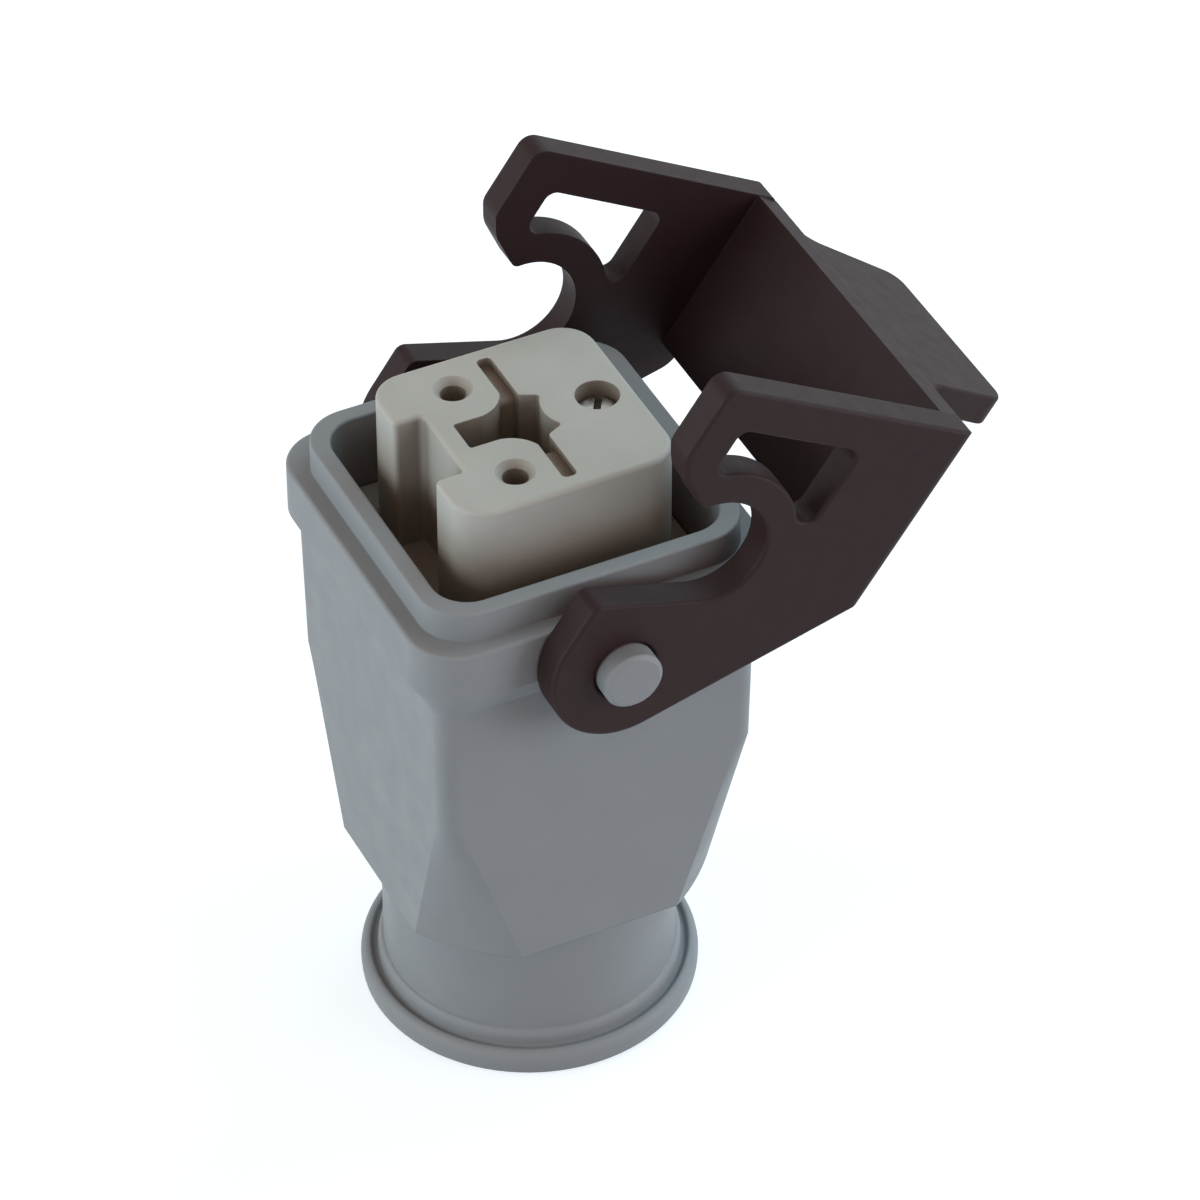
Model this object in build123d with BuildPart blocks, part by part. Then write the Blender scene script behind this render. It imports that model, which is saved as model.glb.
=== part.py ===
from build123d import *
import math
import os

# Extension socket: a square cable-end hood with a female insert and one hinged locking lever.
# +Z is the mating direction. The cable enters at z = 0 and the lever turns about X.
# Every length is in millimetres.

# Housing: cable entry, neck and base ring
entry_bore_r = 10.0
neck_wall = 2.2
neck_height = 14.55
ring_reach = 1.8
ring_foot = 0.3
ring_side = 1.6
crown_inset = 0.4
crown_z = 2.35
groove_inset = 0.7
groove_z = 2.1
bead_reach = 0.95
bead_low_z = 2.4
bead_mid_inset = 0.2
bead_mid_z = 3.1
bead_top_z = 3.8

# Housing: body, ledge and rim
rim_half = 13.7
rim_corner_r = 3.9
rim_height = 2.7
rim_wall = 1.5
rim_edge_r = 0.2
ledge_reach = 1.55
ledge_corner_r = 4.2
ledge_height = 4.55
ledge_edge_r = 0.3
flare_height = 2.4
body_height = 28.45
body_step = 0.2
body_draft = 0.4
body_corner_r = 1.5
facet_height = 16.05
facet_inset = 6.5
facet_bulge = 0.5

# Housing: inside
cavity_depth = 9.5
cavity_corner_r = 3.0
body_wall = 2.9
wiring_corner_r = 3.0
wiring_floor = 4.95
boss_r = 3.4
boss_gap = 2.15
boss_depth = 12.0
boss_bore_depth = 10.0

# Lever hinge
peg_r = 2.5
peg_drop = 6.2
peg_stand = 1.65
peg_edge = 0.35
peg_boss_r = 4.2
hinge_clearance = 0.06
arm_gap = 0.25
arm_thickness = 2.7

# Lever outline, y and z measured from the middle of the rim's top face
nose_r = 6.3
nose_corner_r = 0.9
top_angle = -29.32
top_offset = 20.44
hook_angle = 54.6
hook_offset = 3.43
hook_tip = (5.1, 11.0)
hook_shoulder = (5.1, 13.1)
hook_tip_r = 2.5
hook_shoulder_r = 1.5
hook_corner_r = 1.3
rear_corner_r = 0.6
low_angle = 14.77
low_corner_r = 2.6
sill_angle = -17.0
notch_y = 7.5
notch_z = 2.85
notch_r = 4.6
notch_lip = 0.85
notch_lip_r = 0.7
window_r = 7.35
window_frame = 3.4
window_rear = 11.6
window_toe = (15.14, 1.31)
window_corner_r = 1.0
window_low_turn = 14.0
edge_round = 0.35

# Lever bridge and finger tab, u along the bridge plate and v square to it
bridge_angle = 54.67
bridge_outer_v = 21.1
bridge_thickness = 2.05
bridge_low_u = 7.54
bridge_high_u = 22.5
bridge_corner_r = 1.1
tab_end_v = 30.9
tab_half_root = 10.6
tab_half_end = 9.1
tab_top_u = 22.4
tab_thickness = 2.7
tab_root_r = 2.2
tab_corner_r = 1.8
tab_edge_r = 0.3

# Insert: tower, flange and terminal block
tower_rise = 5.69
tower_gap = 2.8
tower_corner_r = 2.9
tower_edge_r = 0.45
key_half = 3.8
key_depth = 2.55
key_corner_r = 0.5
flange_gap = 0.2
flange_thickness = 2.45
block_height = 12.15
block_rear_y = 0.2
opening_depth = 11.34
opening_half = 1.6
opening_low_y = -5.3
opening_arc_y = -2.75
opening_arc_mid = (2.25, -1.3)
opening_side_x = 3.5
opening_shoulder_x = 2.72
opening_top = (2.0, 2.45)
opening_crown_y = 1.75
opening_low_r = 0.25
opening_top_r = 0.3
opening_shoulder_r = 0.4
slot_y = 0.27
slot_half = 0.63
slot_reach = 8.05
slot_end_r = 0.45
slot_depth = 0.9
slot_lip_r = 0.5

# Contacts and their screw terminals
contact_x = 5.7
contact_y = -3.38
contact_hole_r = 1.05
contact_lead = 0.55
contact_cover = 3.14
contact_barrel_r = 1.8
contact_barrel_length = 11.2
contact_bore_r = 0.85
contact_bore_depth = 8.7
contact_slit = 0.45
contact_slit_depth = 6.7
contact_edge = 0.3
contact_block_half = 2.5
contact_block_height = 10.6
wire_bore_r = 1.4
wire_bore_depth = 7.6
terminal_rise = 4.0
terminal_screw_r = 1.45
terminal_screw_length = 2.5
terminal_slot = 0.5
terminal_slot_depth = 0.7
terminal_reach = 0.7
thread_play = 0.05
screwdriver_hole_r = 1.8
guard_thickness = 0.3
guard_width = 1.8
guard_length = 6.2
guard_foot = 1.4
retainer_thickness = 2.4
retainer_hole_r = 1.7
retainer_half = 8.5
retainer_corner_r = 2.1
play = 0.1

# Earth plate and its terminal
plate_thickness = 0.8
plate_gap = 0.08
plate_hole_r = 1.35
tongue_half = 2.6
tongue_end_r = 2.9
link_width = 2.3
leaf_x = 2.0
leaf_thickness = 0.5
leaf_low_y = 0.45
leaf_width = 1.0
leaf_rise = 11.2
earth_arm = 5.4
earth_arm_length = 8.0
earth_screw_x = 6.5
earth_screw_y = 5.5
earth_head_r = 2.6
earth_head_height = 2.0
earth_head_round = 0.5
earth_head_slot = 0.8
earth_slot_depth = 1.0
earth_screw_length = 4.4
earth_pocket_r = 1.8
earth_pocket_depth = 3.2
clamp_thickness = 0.8
clamp_side = 5.4
clamp_corner_r = 0.6
clamp_hole_r = 1.55

# Fixing screw
screw_y = 6.44
screw_well_r = 1.8
screw_head_r = 1.7
screw_head_height = 2.0
screw_head_depth = 1.25
screw_head_round = 0.5
screw_slot = 0.6
screw_slot_depth = 0.8
screw_slot_angle = 149.0
screw_shank_r = 1.2
screw_clearance = 0.06
screw_passage = 0.15
screw_length = 22.09
washer_thickness = 0.5

# Places that follow from the sizes above
neck_r = entry_bore_r + neck_wall
ring_r = neck_r + ring_reach
body_bottom = neck_height
ramp_bottom = body_bottom + body_height
ledge_bottom = ramp_bottom + flare_height
ledge_top = ledge_bottom + ledge_height
rim_top = ledge_top + rim_height
ledge_half = rim_half + ledge_reach
body_half_top = rim_half + body_step
body_half_bottom = body_half_top - body_draft
facet_top = body_bottom + facet_height
facet_top_half = body_half_bottom + body_draft * facet_height / body_height
facet_edge = body_half_bottom - facet_inset
facet_mid = (body_half_bottom + facet_edge) / 2 + facet_bulge / math.sqrt(2)
cavity_half = rim_half - rim_wall
wiring_half = body_half_bottom - body_wall
wiring_bottom = body_bottom + wiring_floor
shelf_z = rim_top - cavity_depth
boss_top = shelf_z - boss_gap
peg_z = rim_top - peg_drop
arm_inner = ledge_half + arm_gap
arm_outer = arm_inner + arm_thickness
peg_end = arm_outer + peg_stand
tower_half = cavity_half - tower_gap
tower_top = rim_top + tower_rise
key_floor_y = key_depth - tower_half
flange_half = cavity_half - flange_gap
block_bottom = shelf_z - block_height
insert_underside = boss_top + plate_thickness
opening_floor = tower_top - opening_depth
slot_floor = tower_top - slot_depth
contact_top = tower_top - contact_cover
contact_seat = contact_top - contact_barrel_length
contact_bottom = contact_seat - contact_block_height
terminal_z = contact_bottom + terminal_rise
retainer_bottom = contact_bottom - retainer_thickness
head_top = tower_top - screw_head_depth
head_seat = head_top - screw_head_height
washer_bottom = head_seat - washer_thickness
plate_front_y = block_rear_y + plate_gap
leaf_hole_half = leaf_thickness / 2 + play
clamp_bottom = boss_top - clamp_thickness
screw_tip_x = contact_x + terminal_reach

os.makedirs("parts", exist_ok=True)


def cross_lines(angle_1, offset_1, angle_2, offset_2):
    """Crossing point of two lines given by direction angle and normal offset."""
    a = math.radians(angle_1)
    b = math.radians(angle_2)
    det = -math.sin(a) * math.cos(b) + math.cos(a) * math.sin(b)
    y = (offset_1 * math.cos(b) - math.cos(a) * offset_2) / det
    z = (-math.sin(a) * offset_2 + math.sin(b) * offset_1) / det
    return (y, z)


def lift(point):
    """Lever outline points are measured from the rim's top face."""
    return (point[0], point[1] + rim_top)


def corner(point):
    """Selects the sketch vertex at a lever outline point."""
    y, z = lift(point)
    return lambda p: abs(p.X - y) < 0.02 and abs(p.Y - z) < 0.02


# Housing: body, ledge, rim, neck and pegs are one casting
with BuildPart() as housing:
    # lower body: a square whose corners fan out into bowed facets towards the neck
    with BuildSketch(Plane.XY.offset(body_bottom)):
        with BuildLine():
            for turn in (0, 90, 180, 270):
                side_start = Vector(body_half_bottom, -facet_edge).rotate(Axis.Z, turn)
                side_end = Vector(body_half_bottom, facet_edge).rotate(Axis.Z, turn)
                bow = Vector(facet_mid, facet_mid).rotate(Axis.Z, turn)
                next_side = Vector(facet_edge, body_half_bottom).rotate(Axis.Z, turn)
                Line(side_start, side_end)
                ThreePointArc(side_end, bow, next_side)
        make_face()
    with BuildSketch(Plane.XY.offset(facet_top)):
        RectangleRounded(2 * facet_top_half, 2 * facet_top_half, body_corner_r)
    loft(ruled=True)
    # upper body with a slight draft, then the flare up to the ledge
    with BuildSketch(Plane.XY.offset(facet_top)):
        RectangleRounded(2 * facet_top_half, 2 * facet_top_half, body_corner_r)
    with BuildSketch(Plane.XY.offset(ramp_bottom)):
        RectangleRounded(2 * body_half_top, 2 * body_half_top, body_corner_r)
    loft(ruled=True)
    with BuildSketch(Plane.XY.offset(ramp_bottom)):
        RectangleRounded(2 * body_half_top, 2 * body_half_top, body_corner_r)
    with BuildSketch(Plane.XY.offset(ledge_bottom)):
        RectangleRounded(2 * ledge_half, 2 * ledge_half, ledge_corner_r)
    loft(ruled=True)
    with BuildSketch(Plane.XY.offset(ledge_bottom)):
        RectangleRounded(2 * ledge_half, 2 * ledge_half, ledge_corner_r)
    extrude(amount=ledge_height)
    fillet(housing.edges().group_by(Axis.Z)[-1], ledge_edge_r)
    with BuildSketch(Plane.XY.offset(ledge_top)):
        RectangleRounded(2 * rim_half, 2 * rim_half, rim_corner_r)
    extrude(amount=rim_height)
    # neck and base ring: a rounded flange, a groove and a bead against the neck
    crown = (ring_r - crown_inset, crown_z)
    shoulder_drop = (crown_z - ring_side) / 3
    groove = (ring_r - groove_inset, groove_z)
    bead_low = (neck_r + bead_reach, bead_low_z)
    bead_mid = (neck_r + bead_reach - bead_mid_inset, bead_mid_z)
    bead_top = (neck_r, bead_top_z)
    with BuildSketch(Plane.XZ):
        with BuildLine():
            Polyline(
                bead_top,
                (neck_r, body_bottom + 1),
                (0, body_bottom + 1),
                (0, 0),
                (ring_r - ring_foot, 0),
                (ring_r, ring_foot),
                (ring_r, ring_side),
            )
            ThreePointArc(
                (ring_r, ring_side),
                (ring_r - crown_inset / 4, crown_z - shoulder_drop),
                crown,
            )
            Polyline(crown, groove, bead_low)
            ThreePointArc(bead_low, bead_mid, bead_top)
        make_face()
    revolve(axis=Axis.Z)
    # plug cavity, then the wiring space below the insert's shelf
    with BuildSketch(Plane.XY.offset(shelf_z)):
        RectangleRounded(2 * cavity_half, 2 * cavity_half, cavity_corner_r)
    extrude(amount=cavity_depth, mode=Mode.SUBTRACT)
    fillet(housing.edges().group_by(Axis.Z)[-1], rim_edge_r)
    with BuildSketch(Plane.XY.offset(wiring_bottom)):
        RectangleRounded(2 * wiring_half, 2 * wiring_half, wiring_corner_r)
    extrude(amount=shelf_z - wiring_bottom, mode=Mode.SUBTRACT)
    with BuildSketch(Plane.XZ):
        with BuildLine():
            Polyline(
                (0, -1),
                (entry_bore_r, -1),
                (entry_bore_r, body_bottom + 0.5),
                (wiring_half, wiring_bottom),
                (0, wiring_bottom),
                close=True,
            )
        make_face()
    revolve(axis=Axis.Z, mode=Mode.SUBTRACT)
    # tapped boss for the insert's fixing screw, on a web to the rear wall
    web_end = wiring_half + 0.5
    with BuildSketch(Plane.XY.offset(boss_top - boss_depth)):
        with Locations((0, screw_y)):
            Circle(boss_r)
        with Locations((0, (screw_y + web_end) / 2)):
            Rectangle(2 * boss_r, web_end - screw_y)
    extrude(amount=boss_depth)
    with BuildSketch(Plane.XY.offset(boss_top - boss_bore_depth)):
        with Locations((0, screw_y)):
            Circle(screw_shank_r + screw_clearance)
    extrude(amount=boss_bore_depth, mode=Mode.SUBTRACT)
    # hinge pegs on their bosses
    peg_root = cavity_half + rim_wall / 4
    for side in (1, -1):
        with BuildSketch(Plane.YZ.offset(side * peg_root)):
            with Locations((0, peg_z)):
                Circle(peg_boss_r)
        extrude(amount=side * (ledge_half - peg_root))
        with BuildSketch(Plane.YZ.offset(side * peg_root)):
            with Locations((0, peg_z)):
                Circle(peg_r)
        extrude(amount=side * (peg_end - peg_root))
    peg_rims = housing.edges().filter_by(GeomType.CIRCLE).filter_by(
        lambda e: abs(abs(e.center().X) - peg_end) < 0.01
    )
    chamfer(peg_rims, peg_edge)
housing.part.label = "housing"
export_step(housing.part, "parts/housing.step")

# Locking lever: straight lines of the arm's outline, crossed with each other
pivot_z = -peg_drop
low_offset = math.cos(math.radians(low_angle)) * pivot_z - nose_r
nose_offset = math.cos(math.radians(hook_angle)) * pivot_z + nose_r
sill_turn = math.radians(sill_angle)
sill_touch = (notch_y + notch_r * math.sin(sill_turn), notch_z - notch_r * math.cos(sill_turn))
sill_offset = math.cos(sill_turn) * sill_touch[1] - math.sin(sill_turn) * sill_touch[0]
top_front = cross_lines(top_angle, top_offset, hook_angle, hook_offset)
top_rear = cross_lines(top_angle, top_offset, bridge_angle, -bridge_outer_v)
low_rear = cross_lines(low_angle, low_offset, bridge_angle, -bridge_outer_v)
nose_top = cross_lines(hook_angle, nose_offset, sill_angle, sill_offset)
low_turn = math.radians(low_angle)
hook_turn = math.radians(hook_angle)
low_touch = (nose_r * math.sin(low_turn), pivot_z - nose_r * math.cos(low_turn))
nose_touch = (-nose_r * math.sin(hook_turn), pivot_z + nose_r * math.cos(hook_turn))
nose_mid = (-nose_r / math.sqrt(2), pivot_z - nose_r / math.sqrt(2))
notch_top = (notch_y - notch_lip, notch_z + math.sqrt(notch_r**2 - notch_lip**2))

# the window's curved edge runs concentric with the notch
window_offset = hook_offset - window_frame
window_base = window_offset / math.cos(hook_turn) - notch_z
slope = math.tan(hook_turn)
quad_a = 1 + slope**2
half_b = notch_y - slope * window_base
quad_c = notch_y**2 + window_base**2 - window_r**2
window_left_y = (half_b + math.sqrt(half_b**2 - quad_a * quad_c)) / quad_a
window_left = (window_left_y, slope * window_left_y + window_offset / math.cos(hook_turn))
window_top = top_offset - window_frame
window_front = cross_lines(hook_angle, window_offset, top_angle, window_top)
window_back = cross_lines(bridge_angle, -window_rear, top_angle, window_top)
window_low = math.radians(window_low_turn)
window_start = (notch_y + window_r * math.cos(window_low), notch_z + window_r * math.sin(window_low))
window_mid = (notch_y + window_r / math.sqrt(2), notch_z + window_r / math.sqrt(2))

bridge_turn = math.radians(bridge_angle)
u_dir = Vector(0, math.cos(bridge_turn), math.sin(bridge_turn))
v_dir = Vector(0, math.sin(bridge_turn), -math.cos(bridge_turn))
rim_centre = Vector(0, 0, rim_top)
tab_plane = Plane(
    origin=rim_centre + u_dir * (tab_top_u - tab_thickness),
    x_dir=(1, 0, 0),
    z_dir=u_dir,
)
# the tab plane's own y axis runs against v
v_sign = 1 if tab_plane.y_dir.dot(v_dir) > 0 else -1


def bridge_point(u, v):
    """Point in the YZ plane, u along the bridge plate and v square to it."""
    point = rim_centre + u_dir * u + v_dir * v
    return (point.Y, point.Z)


# Locking lever: one U-shaped moulding
with BuildPart() as locking_lever:
    # finger tab, flared where it leaves the bridge
    tab_root_v = bridge_outer_v - 0.15
    tab_hidden_v = bridge_outer_v - bridge_thickness / 2
    tab_hidden_half = tab_half_root + tab_root_r + 0.8
    with BuildSketch(tab_plane):
        with BuildLine():
            Polyline(
                (-tab_hidden_half, v_sign * tab_root_v),
                (-tab_hidden_half, v_sign * tab_hidden_v),
                (tab_hidden_half, v_sign * tab_hidden_v),
                (tab_hidden_half, v_sign * tab_root_v),
                (tab_half_root, v_sign * tab_root_v),
                (tab_half_end, v_sign * tab_end_v),
                (-tab_half_end, v_sign * tab_end_v),
                (-tab_half_root, v_sign * tab_root_v),
                close=True,
            )
        make_face()
        fillet(vertices().filter_by(lambda p: abs(abs(p.X) - tab_half_root) < 0.01), tab_root_r)
        fillet(vertices().filter_by(lambda p: abs(abs(p.X) - tab_half_end) < 0.01), tab_corner_r)
    extrude(amount=tab_thickness)
    tab_rim = locking_lever.edges().filter_by(
        lambda e: abs((e.center() - rim_centre).dot(u_dir) - tab_top_u + tab_thickness / 2) > 0.1
        and (e.center() - rim_centre).dot(v_dir) > bridge_outer_v - 0.2
    )
    fillet(tab_rim, tab_edge_r)
    for side in (1, -1):
        with BuildSketch(Plane.YZ.offset(side * arm_inner)):
            with BuildLine():
                Polyline(
                    lift(notch_top),
                    lift(hook_tip),
                    lift(hook_shoulder),
                    lift(top_front),
                    lift(top_rear),
                    lift(low_rear),
                    lift(low_touch),
                )
                ThreePointArc(lift(low_touch), lift(nose_mid), lift(nose_touch))
                Polyline(lift(nose_touch), lift(nose_top), lift(sill_touch))
                ThreePointArc(lift(sill_touch), lift((notch_y + notch_r, notch_z)), lift(notch_top))
            make_face()
            for point, radius in (
                (notch_top, notch_lip_r),
                (hook_tip, hook_tip_r),
                (hook_shoulder, hook_shoulder_r),
                (top_front, hook_corner_r),
                (top_rear, rear_corner_r),
                (low_rear, low_corner_r),
                (nose_top, nose_corner_r),
            ):
                fillet(vertices().filter_by(corner(point)), radius)
            with Locations((0, peg_z)):
                Circle(peg_r + hinge_clearance, mode=Mode.SUBTRACT)
            with BuildLine():
                ThreePointArc(lift(window_start), lift(window_mid), lift(window_left))
                Polyline(
                    lift(window_left),
                    lift(window_front),
                    lift(window_back),
                    lift(window_toe),
                    lift(window_start),
                )
            make_face(mode=Mode.SUBTRACT)
            for point in (window_left, window_front, window_back, window_toe):
                fillet(vertices().filter_by(corner(point)), window_corner_r)
        extrude(amount=side * arm_thickness)
        outer_face = locking_lever.faces().filter_by(
            lambda f: abs(f.center().X - side * arm_outer) < 0.01
        )
        fillet(outer_face.edges(), edge_round)
        # the arm's outer corner is rounded along the bridge
        with BuildSketch(tab_plane):
            with BuildLine():
                corner_x = side * (arm_outer - bridge_corner_r)
                corner_v = bridge_outer_v - bridge_corner_r
                diagonal = bridge_corner_r / math.sqrt(2)
                ThreePointArc(
                    (corner_x, v_sign * bridge_outer_v),
                    (corner_x + side * diagonal, v_sign * (corner_v + diagonal)),
                    (side * arm_outer, v_sign * corner_v),
                )
                Polyline(
                    (side * arm_outer, v_sign * corner_v),
                    (side * (arm_outer + 1), v_sign * corner_v),
                    (side * (arm_outer + 1), v_sign * (bridge_outer_v + 1)),
                    (corner_x, v_sign * (bridge_outer_v + 1)),
                    (corner_x, v_sign * bridge_outer_v),
                )
            make_face()
        extrude(amount=bridge_high_u, both=True, mode=Mode.SUBTRACT)
    # bridge plate between the arms
    bridge_inner_v = bridge_outer_v - bridge_thickness
    with BuildSketch(Plane.YZ):
        with BuildLine():
            Polyline(
                bridge_point(bridge_low_u, bridge_inner_v),
                bridge_point(bridge_low_u, bridge_outer_v),
                bridge_point(bridge_high_u, bridge_outer_v),
                bridge_point(bridge_high_u, bridge_inner_v),
                close=True,
            )
        make_face()
    extrude(amount=arm_inner + 0.1, both=True)
locking_lever.part.label = "locking_lever"
export_step(locking_lever.part, "parts/locking_lever.step")

# Insert body: flange, plug tower and terminal block are one moulding
with BuildPart() as insert_body:
    with BuildSketch(Plane.XY.offset(insert_underside)):
        RectangleRounded(2 * tower_half, 2 * tower_half, tower_corner_r)
        with Locations((0, key_floor_y - key_depth)):
            Rectangle(2 * key_half, 2 * key_depth, mode=Mode.SUBTRACT)
        fillet(vertices().filter_by(lambda p: abs(abs(p.X) - key_half) < 0.01), key_corner_r)
    extrude(amount=tower_top - insert_underside)
    fillet(insert_body.edges().group_by(Axis.Z)[-1], tower_edge_r)
    with BuildSketch(Plane.XY.offset(shelf_z)):
        RectangleRounded(2 * flange_half, 2 * flange_half, cavity_corner_r - flange_gap)
    extrude(amount=flange_thickness)
    # terminal block below the flange, clear of the housing's boss
    with BuildSketch(Plane.XY.offset(block_bottom)):
        with Locations((0, (block_rear_y - tower_half) / 2)):
            Rectangle(2 * tower_half, block_rear_y + tower_half)
        fillet(vertices().group_by(Axis.Y)[0], tower_corner_r)
    extrude(amount=block_height)
    # keyed opening in the middle of the tower
    slot_low = slot_y - slot_half
    slot_high = slot_y + slot_half
    with BuildSketch(Plane.XY.offset(opening_floor)):
        with BuildLine():
            ThreePointArc(
                (-opening_top[0], opening_top[1]),
                (0, opening_crown_y),
                opening_top,
            )
            Polyline(
                opening_top,
                (opening_shoulder_x, slot_high),
                (opening_side_x, slot_high),
                (opening_side_x, slot_low),
            )
            ThreePointArc(
                (opening_side_x, slot_low),
                opening_arc_mid,
                (opening_half, opening_arc_y),
            )
            Polyline(
                (opening_half, opening_arc_y),
                (opening_half, opening_low_y),
                (-opening_half, opening_low_y),
                (-opening_half, opening_arc_y),
            )
            ThreePointArc(
                (-opening_half, opening_arc_y),
                (-opening_arc_mid[0], opening_arc_mid[1]),
                (-opening_side_x, slot_low),
            )
            Polyline(
                (-opening_side_x, slot_low),
                (-opening_side_x, slot_high),
                (-opening_shoulder_x, slot_high),
                (-opening_top[0], opening_top[1]),
            )
        make_face()
        fillet(vertices().filter_by(lambda p: abs(p.Y - opening_low_y) < 0.01), opening_low_r)
        fillet(vertices().filter_by(lambda p: abs(p.Y - opening_top[1]) < 0.01), opening_top_r)
        fillet(
            vertices().filter_by(lambda p: abs(abs(p.X) - opening_shoulder_x) < 0.01),
            opening_shoulder_r,
        )
    extrude(amount=opening_depth, mode=Mode.SUBTRACT)
    # one shallow groove each side of the opening, with a rounded lip into it
    lip_bottom = slot_floor - slot_lip_r - 0.1
    with BuildSketch(Plane.XZ.offset(-slot_high)):
        with BuildLine():
            Polyline(
                (slot_reach, tower_top),
                (slot_reach, slot_floor),
                (opening_side_x, slot_floor),
                (opening_side_x, lip_bottom),
                (-opening_side_x, lip_bottom),
                (-opening_side_x, slot_floor),
                (-slot_reach, slot_floor),
                (-slot_reach, tower_top),
                close=True,
            )
        make_face()
        fillet(
            vertices().filter_by(
                lambda p: abs(abs(p.X) - opening_side_x) < 0.01 and abs(p.Y - slot_floor) < 0.01
            ),
            slot_lip_r,
        )
    extrude(amount=2 * slot_half, mode=Mode.SUBTRACT)
    slot_ends = insert_body.edges().filter_by(Axis.Z).filter_by(
        lambda e: abs(abs(e.center().X) - slot_reach) < 0.01
    )
    fillet(slot_ends, slot_end_r)
    # fixing screw: well, passage and head seat
    with BuildSketch(Plane.XY.offset(washer_bottom)):
        with Locations((0, screw_y)):
            Circle(screw_well_r)
    extrude(amount=tower_top - washer_bottom, mode=Mode.SUBTRACT)
    with BuildSketch(Plane.XY.offset(insert_underside)):
        with Locations((0, screw_y)):
            Circle(screw_shank_r + screw_passage)
    extrude(amount=washer_bottom - insert_underside, mode=Mode.SUBTRACT)
    for side in (1, -1):
        # contact hole with its lead-in, barrel and chamber
        with BuildSketch(Plane.XY.offset(contact_top)):
            with Locations((side * contact_x, contact_y)):
                Circle(contact_hole_r)
        extrude(amount=contact_cover, mode=Mode.SUBTRACT)
        with BuildSketch(Plane.XY.offset(contact_seat)):
            with Locations((side * contact_x, contact_y)):
                Circle(contact_barrel_r + play)
        extrude(amount=contact_barrel_length + 2 * play, mode=Mode.SUBTRACT)
        with BuildSketch(Plane.XY.offset(contact_bottom)):
            with Locations((side * contact_x, contact_y)):
                Rectangle(2 * contact_block_half + 2 * play, 2 * contact_block_half + 2 * play)
        extrude(amount=contact_block_height, mode=Mode.SUBTRACT)
        # screwdriver access from the side
        with BuildSketch(Plane.YZ.offset(side * contact_x)):
            with Locations((contact_y, terminal_z)):
                Circle(screwdriver_hole_r)
        extrude(amount=side * (tower_half - contact_x + 1), mode=Mode.SUBTRACT)
        # passage for the earth leaf, from the plate into the opening
        with BuildSketch(Plane.XY.offset(insert_underside)):
            with Locations((side * leaf_x, leaf_low_y + leaf_width / 2)):
                Rectangle(2 * leaf_hole_half, leaf_width + 2 * play)
        extrude(amount=opening_floor - insert_underside, mode=Mode.SUBTRACT)
    lead_edges = insert_body.edges().filter_by(GeomType.CIRCLE).filter_by(
        lambda e: abs(e.radius - contact_hole_r) < 0.01 and abs(e.center().Z - tower_top) < 0.01
    )
    chamfer(lead_edges, contact_lead)
    # room for the earth screw's tip
    with BuildSketch(Plane.XY.offset(insert_underside)):
        with Locations((earth_screw_x, earth_screw_y)):
            Circle(earth_pocket_r)
    extrude(amount=earth_pocket_depth, mode=Mode.SUBTRACT)
    # recess for the contact retainer
    recess_half = retainer_half + play
    recess_rear_y = contact_y + contact_block_half + 3.8 * play
    with BuildSketch(Plane.XY.offset(retainer_bottom)):
        with Locations((0, (recess_rear_y - recess_half) / 2)):
            Rectangle(2 * recess_half, recess_rear_y + recess_half)
        fillet(vertices().group_by(Axis.Y)[0], retainer_corner_r + play)
    extrude(amount=retainer_thickness, mode=Mode.SUBTRACT)
insert_body.part.label = "insert_body"
export_step(insert_body.part, "parts/insert_body.step")

# Contact retainer: closes the terminal block from below
with BuildPart() as contact_retainer:
    retainer_rear_y = recess_rear_y - play
    with BuildSketch(Plane.XY.offset(retainer_bottom)):
        with Locations((0, (retainer_rear_y - retainer_half) / 2)):
            Rectangle(2 * retainer_half, retainer_rear_y + retainer_half)
        fillet(vertices().group_by(Axis.Y)[0], retainer_corner_r)
        with Locations((contact_x, contact_y), (-contact_x, contact_y)):
            Circle(retainer_hole_r, mode=Mode.SUBTRACT)
    extrude(amount=retainer_thickness)
contact_retainer.part.label = "contact_retainer"
export_step(contact_retainer.part, "parts/contact_retainer.step")

# Contacts: two alike, turned barrels on square terminal blocks, made by a loop
for contact_name, side in (("left_contact", -1), ("right_contact", 1)):
    with BuildPart() as contact:
        with BuildSketch(Plane.XY.offset(contact_bottom)):
            with Locations((side * contact_x, contact_y)):
                Rectangle(2 * contact_block_half, 2 * contact_block_half)
        extrude(amount=contact_block_height)
        with BuildSketch(Plane.XY.offset(contact_seat)):
            with Locations((side * contact_x, contact_y)):
                Circle(contact_barrel_r)
        extrude(amount=contact_barrel_length)
        chamfer(contact.edges().group_by(Axis.Z)[-1], contact_edge)
        with BuildSketch(Plane.XY.offset(contact_top - contact_bore_depth)):
            with Locations((side * contact_x, contact_y)):
                Circle(contact_bore_r)
        extrude(amount=contact_bore_depth, mode=Mode.SUBTRACT)
        # the slit lets the barrel grip the pin
        with BuildSketch(Plane.XY.offset(contact_top - contact_slit_depth)):
            with Locations((side * contact_x, contact_y)):
                Rectangle(2 * contact_barrel_r, contact_slit)
        extrude(amount=contact_slit_depth, mode=Mode.SUBTRACT)
        with BuildSketch(Plane.XY.offset(contact_bottom)):
            with Locations((side * contact_x, contact_y)):
                Circle(wire_bore_r)
        extrude(amount=wire_bore_depth, mode=Mode.SUBTRACT)
        with BuildSketch(Plane.YZ.offset(side * contact_x)):
            with Locations((contact_y, terminal_z)):
                Circle(terminal_screw_r + thread_play)
        extrude(amount=side * contact_block_half, mode=Mode.SUBTRACT)
    contact.part.label = contact_name
    export_step(contact.part, f"parts/{contact_name}.step")

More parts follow.
